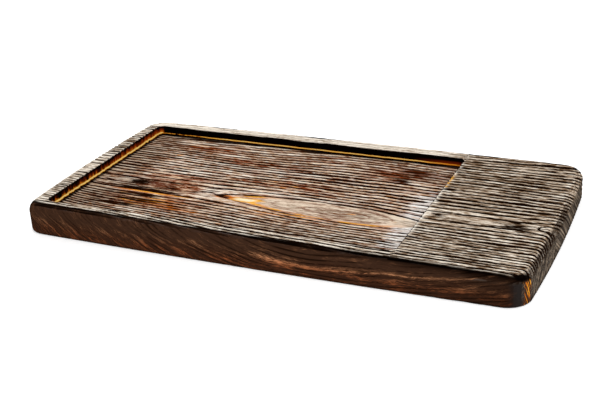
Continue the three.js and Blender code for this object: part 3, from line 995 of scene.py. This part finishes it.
def plain_board(sizes):
    """The board with its rounded edges and its recess, before brushing."""
    low, high = CAD_BOX
    at_top = level_at(high.z)
    board = block("board", low, high)
    bevel_edges(board, upright, sizes.corner, CORNER_STEPS)
    bevel_edges(board, at_top, sizes.top_round, TOP_STEPS)
    bevel_edges(board, level_at(low.z), sizes.bottom_ease, BOTTOM_STEPS)
    floor = high.z - sizes.recess_depth
    left, right, back = low.x + sizes.rim, high.x - sizes.land, high.y - sizes.rim
    recess = block("recess", (left, low.y + sizes.rim, floor), (right, back, high.z + sizes.recess_depth))
    bevel_edges(recess, upright, sizes.recess_corner, RECESS_STEPS)
    bevel_edges(recess, level_at(floor), sizes.cove, COVE_STEPS)
    subtract(board, recess)

    def by_recess(point):
        across = left - SAME_PLACE < point.x < right + SAME_PLACE
        return across and abs(point.y) < back + SAME_PLACE

    def recess_edge(a, b):
        return at_top(a, b) and by_recess(a) and by_recess(b)

    bevel_edges(board, recess_edge, sizes.arris, ARRIS_STEPS)
    return board


def brush(board, sizes, grain):
    """Meshes the board finely, longer along the grain, and sinks its grooves."""
    scale_along_grain(board, 1 / grain.mesh_stretch)
    apply_modifier(board, "REMESH", mode="VOXEL", voxel_size=grain.mesh_step)
    scale_along_grain(board, grain.mesh_stretch)
    apply_modifier(board, "NODES", node_group=brushing(sizes, grain))


def copy_of(obj, name):
    piece = obj.copy()
    piece.data = obj.data.copy()
    piece.name = piece.data.name = name
    bpy.context.scene.collection.objects.link(piece)
    return piece


def keep_between(obj, front, back):
    """Saws off what lies in front of one plane and behind another, and closes the cuts."""
    choose(obj)
    bpy.ops.object.mode_set(mode="EDIT")
    for plane_y, drop in ((front, "clear_inner"), (back, "clear_outer")):
        bpy.ops.mesh.select_all(action="SELECT")
        bpy.ops.mesh.bisect(
            plane_co=(0, plane_y, 0), plane_no=(0, 1, 0), use_fill=True, threshold=SAME_CUT, **{drop: True}
        )
    bpy.ops.object.mode_set(mode="OBJECT")


def bore_for(piece, node, sizes):
    """Bores a stave for one dowel, to the dowel's own place and size."""
    low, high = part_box(node)
    deselect()
    bpy.ops.mesh.primitive_cylinder_add(
        vertices=BORE_SIDES,
        radius=(high.z - low.z) / 2 + sizes.bore_room,
        depth=high.y - low.y + 2 * sizes.bore_end_room,
        location=(low + high) / 2,
        rotation=(math.pi / 2, 0, 0),
    )
    bpy.ops.object.transform_apply()
    subtract(piece, bpy.context.object)


def overlap_along_y(node_a, node_b):
    (low_a, high_a), (low_b, high_b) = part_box(node_a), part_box(node_b)
    return low_a.y < high_b.y and low_b.y < high_a.y


def dress(obj, material):
    obj.data.materials.clear()
    obj.data.materials.append(material)


class TRAY_OT_staves(bpy.types.Operator):
    """Model the board, brush it, part it into staves and bore them for their dowels"""

    bl_idname = "tray.staves"
    bl_label = "Brushed Staves"

    def execute(self, context):
        sizes, grain = context.scene.tray_sizes, context.scene.tray_grain
        board = plain_board(sizes)
        brush(board, sizes, grain)
        wood = brushed_wood(context.scene.tray_colours, sizes, fibre_group())
        boxes = [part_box(node) for node in STAVE_NODES]
        joints = [(behind[0].y + ahead[1].y) / 2 for ahead, behind in zip(boxes, boxes[1:])]
        outside = WIDTH * MM
        cuts = [-outside, *joints, outside]
        for node, front, back in zip(STAVE_NODES, cuts, cuts[1:]):
            piece = copy_of(board, f"brushed_{node}")
            keep_between(piece, front, back)
            for dowel in DOWEL_NODES:
                if overlap_along_y(node, dowel):
                    bore_for(piece, dowel, sizes)
            choose(piece)
            bpy.ops.object.shade_smooth_by_angle(angle=SMOOTH_ANGLE)
            dress(piece, wood)
            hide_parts(node)
            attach(piece, "root")
        bpy.data.meshes.remove(board.data)
        return {"FINISHED"}


class TRAY_OT_dowels(bpy.types.Operator):
    """Finish the hidden dowels in turned beech"""

    bl_idname = "tray.dowels"
    bl_label = "Beech Dowels"

    def execute(self, context):
        fibres = bpy.data.node_groups.get("Wood fibres") or fibre_group()
        wood = beech(context.scene.tray_colours, fibres)
        for node in DOWEL_NODES:
            dress(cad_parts[node], wood)
        return {"FINISHED"}


# Stage

CAMERA_PLACE = (0.28409, -0.61659, 0.30902)
CAMERA_YAW, CAMERA_PITCH, CAMERA_ROLL = (math.radians(angle) for angle in (24.80, 24.089, -3.145))
CAMERA_LENS = 63.59
WHITE = (1, 1, 1, 1)
SKY_LEVEL = 0.6
FLOOR_SIZE = 6.0
FLOOR_COLOUR, FLOOR_ROUGHNESS, FLOOR_GLOW = (0.9, 0.9, 0.9, 1), 0.9, 0.45

# Name, place and size in metres, and power in watts.
SOFT_BOXES = (
    ("back soft box", (-0.5, 1.0, 0.9), 1.0, 11),
    ("side soft box", (0.88, -0.66, 0.84), 0.8, 7.8),
)


def seen_or_reflected(tree):
    """One for rays from the camera, a mirror or a clear surface."""
    rays = tree.nodes.new("ShaderNodeLightPath")
    names = ("Is Camera Ray", "Is Glossy Ray", "Is Transmission Ray")
    seen, glossy, clear = (Field(tree, rays.outputs[name]) for name in names)
    return seen.most(glossy).most(clear)


def white_sky():
    world = bpy.data.worlds.new("Studio")
    bpy.context.scene.world = world
    world.use_nodes = True
    tree = world.node_tree
    strength = seen_or_reflected(tree).ramp(0.0, 1.0, SKY_LEVEL, 1.0)
    fill(tree.nodes["Background"], {"Color": WHITE, "Strength": strength})


def pale_floor():
    deselect()
    bpy.ops.mesh.primitive_plane_add(size=FLOOR_SIZE, location=(0, 0, 0))
    floor = bpy.context.object
    floor.name = "floor"
    material, tree, shader = new_material("Pale floor")
    fill(shader, {"Base Color": FLOOR_COLOUR, "Roughness": FLOOR_ROUGHNESS})
    fill(shader, {"Emission Color": WHITE, "Emission Strength": seen_or_reflected(tree) * FLOOR_GLOW})
    floor.data.materials.append(material)


def soft_light(name, place, size, power):
    """A square soft box that faces the tray."""
    light = bpy.data.lights.new(name, "AREA")
    light.size = size
    light.energy = power
    obj = bpy.data.objects.new(name, light)
    obj.location = place
    obj.rotation_euler = (-Vector(place)).to_track_quat("-Z", "Y").to_euler()
    bpy.context.scene.collection.objects.link(obj)


def photo_camera():
    """The camera that was fitted to the tray's outline."""
    camera = bpy.data.objects.new("camera", bpy.data.cameras.new("camera"))
    camera.data.lens = CAMERA_LENS
    turn = (
        Matrix.Rotation(CAMERA_YAW, 4, "Z")
        @ Matrix.Rotation(math.pi / 2 - CAMERA_PITCH, 4, "X")
        @ Matrix.Rotation(CAMERA_ROLL, 4, "Z")
    )
    camera.matrix_world = Matrix.Translation(CAMERA_PLACE) @ turn
    bpy.context.scene.collection.objects.link(camera)
    bpy.context.scene.camera = camera


class TRAY_OT_stage(bpy.types.Operator):
    """Set the pale floor, the soft studio light and the camera"""

    bl_idname = "tray.stage"
    bl_label = "Studio Stage"

    def execute(self, context):
        context.scene.view_settings.view_transform = "Standard"
        white_sky()
        pale_floor()
        for spec in SOFT_BOXES:
            soft_light(*spec)
        photo_camera()
        return {"FINISHED"}


GROUPS = {"tray_sizes": TraySizes, "tray_grain": TrayGrain, "tray_colours": TrayColours}
OPERATORS = (TRAY_OT_staves, TRAY_OT_dowels, TRAY_OT_stage)


class TRAY_PT_panel(bpy.types.Panel):
    """Lists the tray's pieces, sizes and colours"""

    bl_idname = "TRAY_PT_panel"
    bl_label = "Serving Tray"
    bl_space_type = "VIEW_3D"
    bl_region_type = "UI"
    bl_category = "Tray"

    def draw(self, context):
        layout = self.layout
        for operator in OPERATORS:
            layout.operator(operator.bl_idname)
        for group in (getattr(context.scene, name) for name in GROUPS):
            column = layout.column(align=True)
            for name in group.bl_rna.properties.keys():
                if name not in ("rna_type", "name"):
                    column.prop(group, name)


CLASSES = (*GROUPS.values(), *OPERATORS, TRAY_PT_panel)


def register():
    for cls in CLASSES:
        bpy.utils.register_class(cls)
    for name, group in GROUPS.items():
        setattr(bpy.types.Scene, name, PointerProperty(type=group))


def unregister():
    for name in reversed(GROUPS):
        delattr(bpy.types.Scene, name)
    for cls in reversed(CLASSES):
        bpy.utils.unregister_class(cls)


def main():
    register()
    bpy.ops.tray.staves()
    bpy.ops.tray.dowels()
    bpy.ops.tray.stage()
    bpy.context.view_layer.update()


if __name__ == "__main__":
    main()
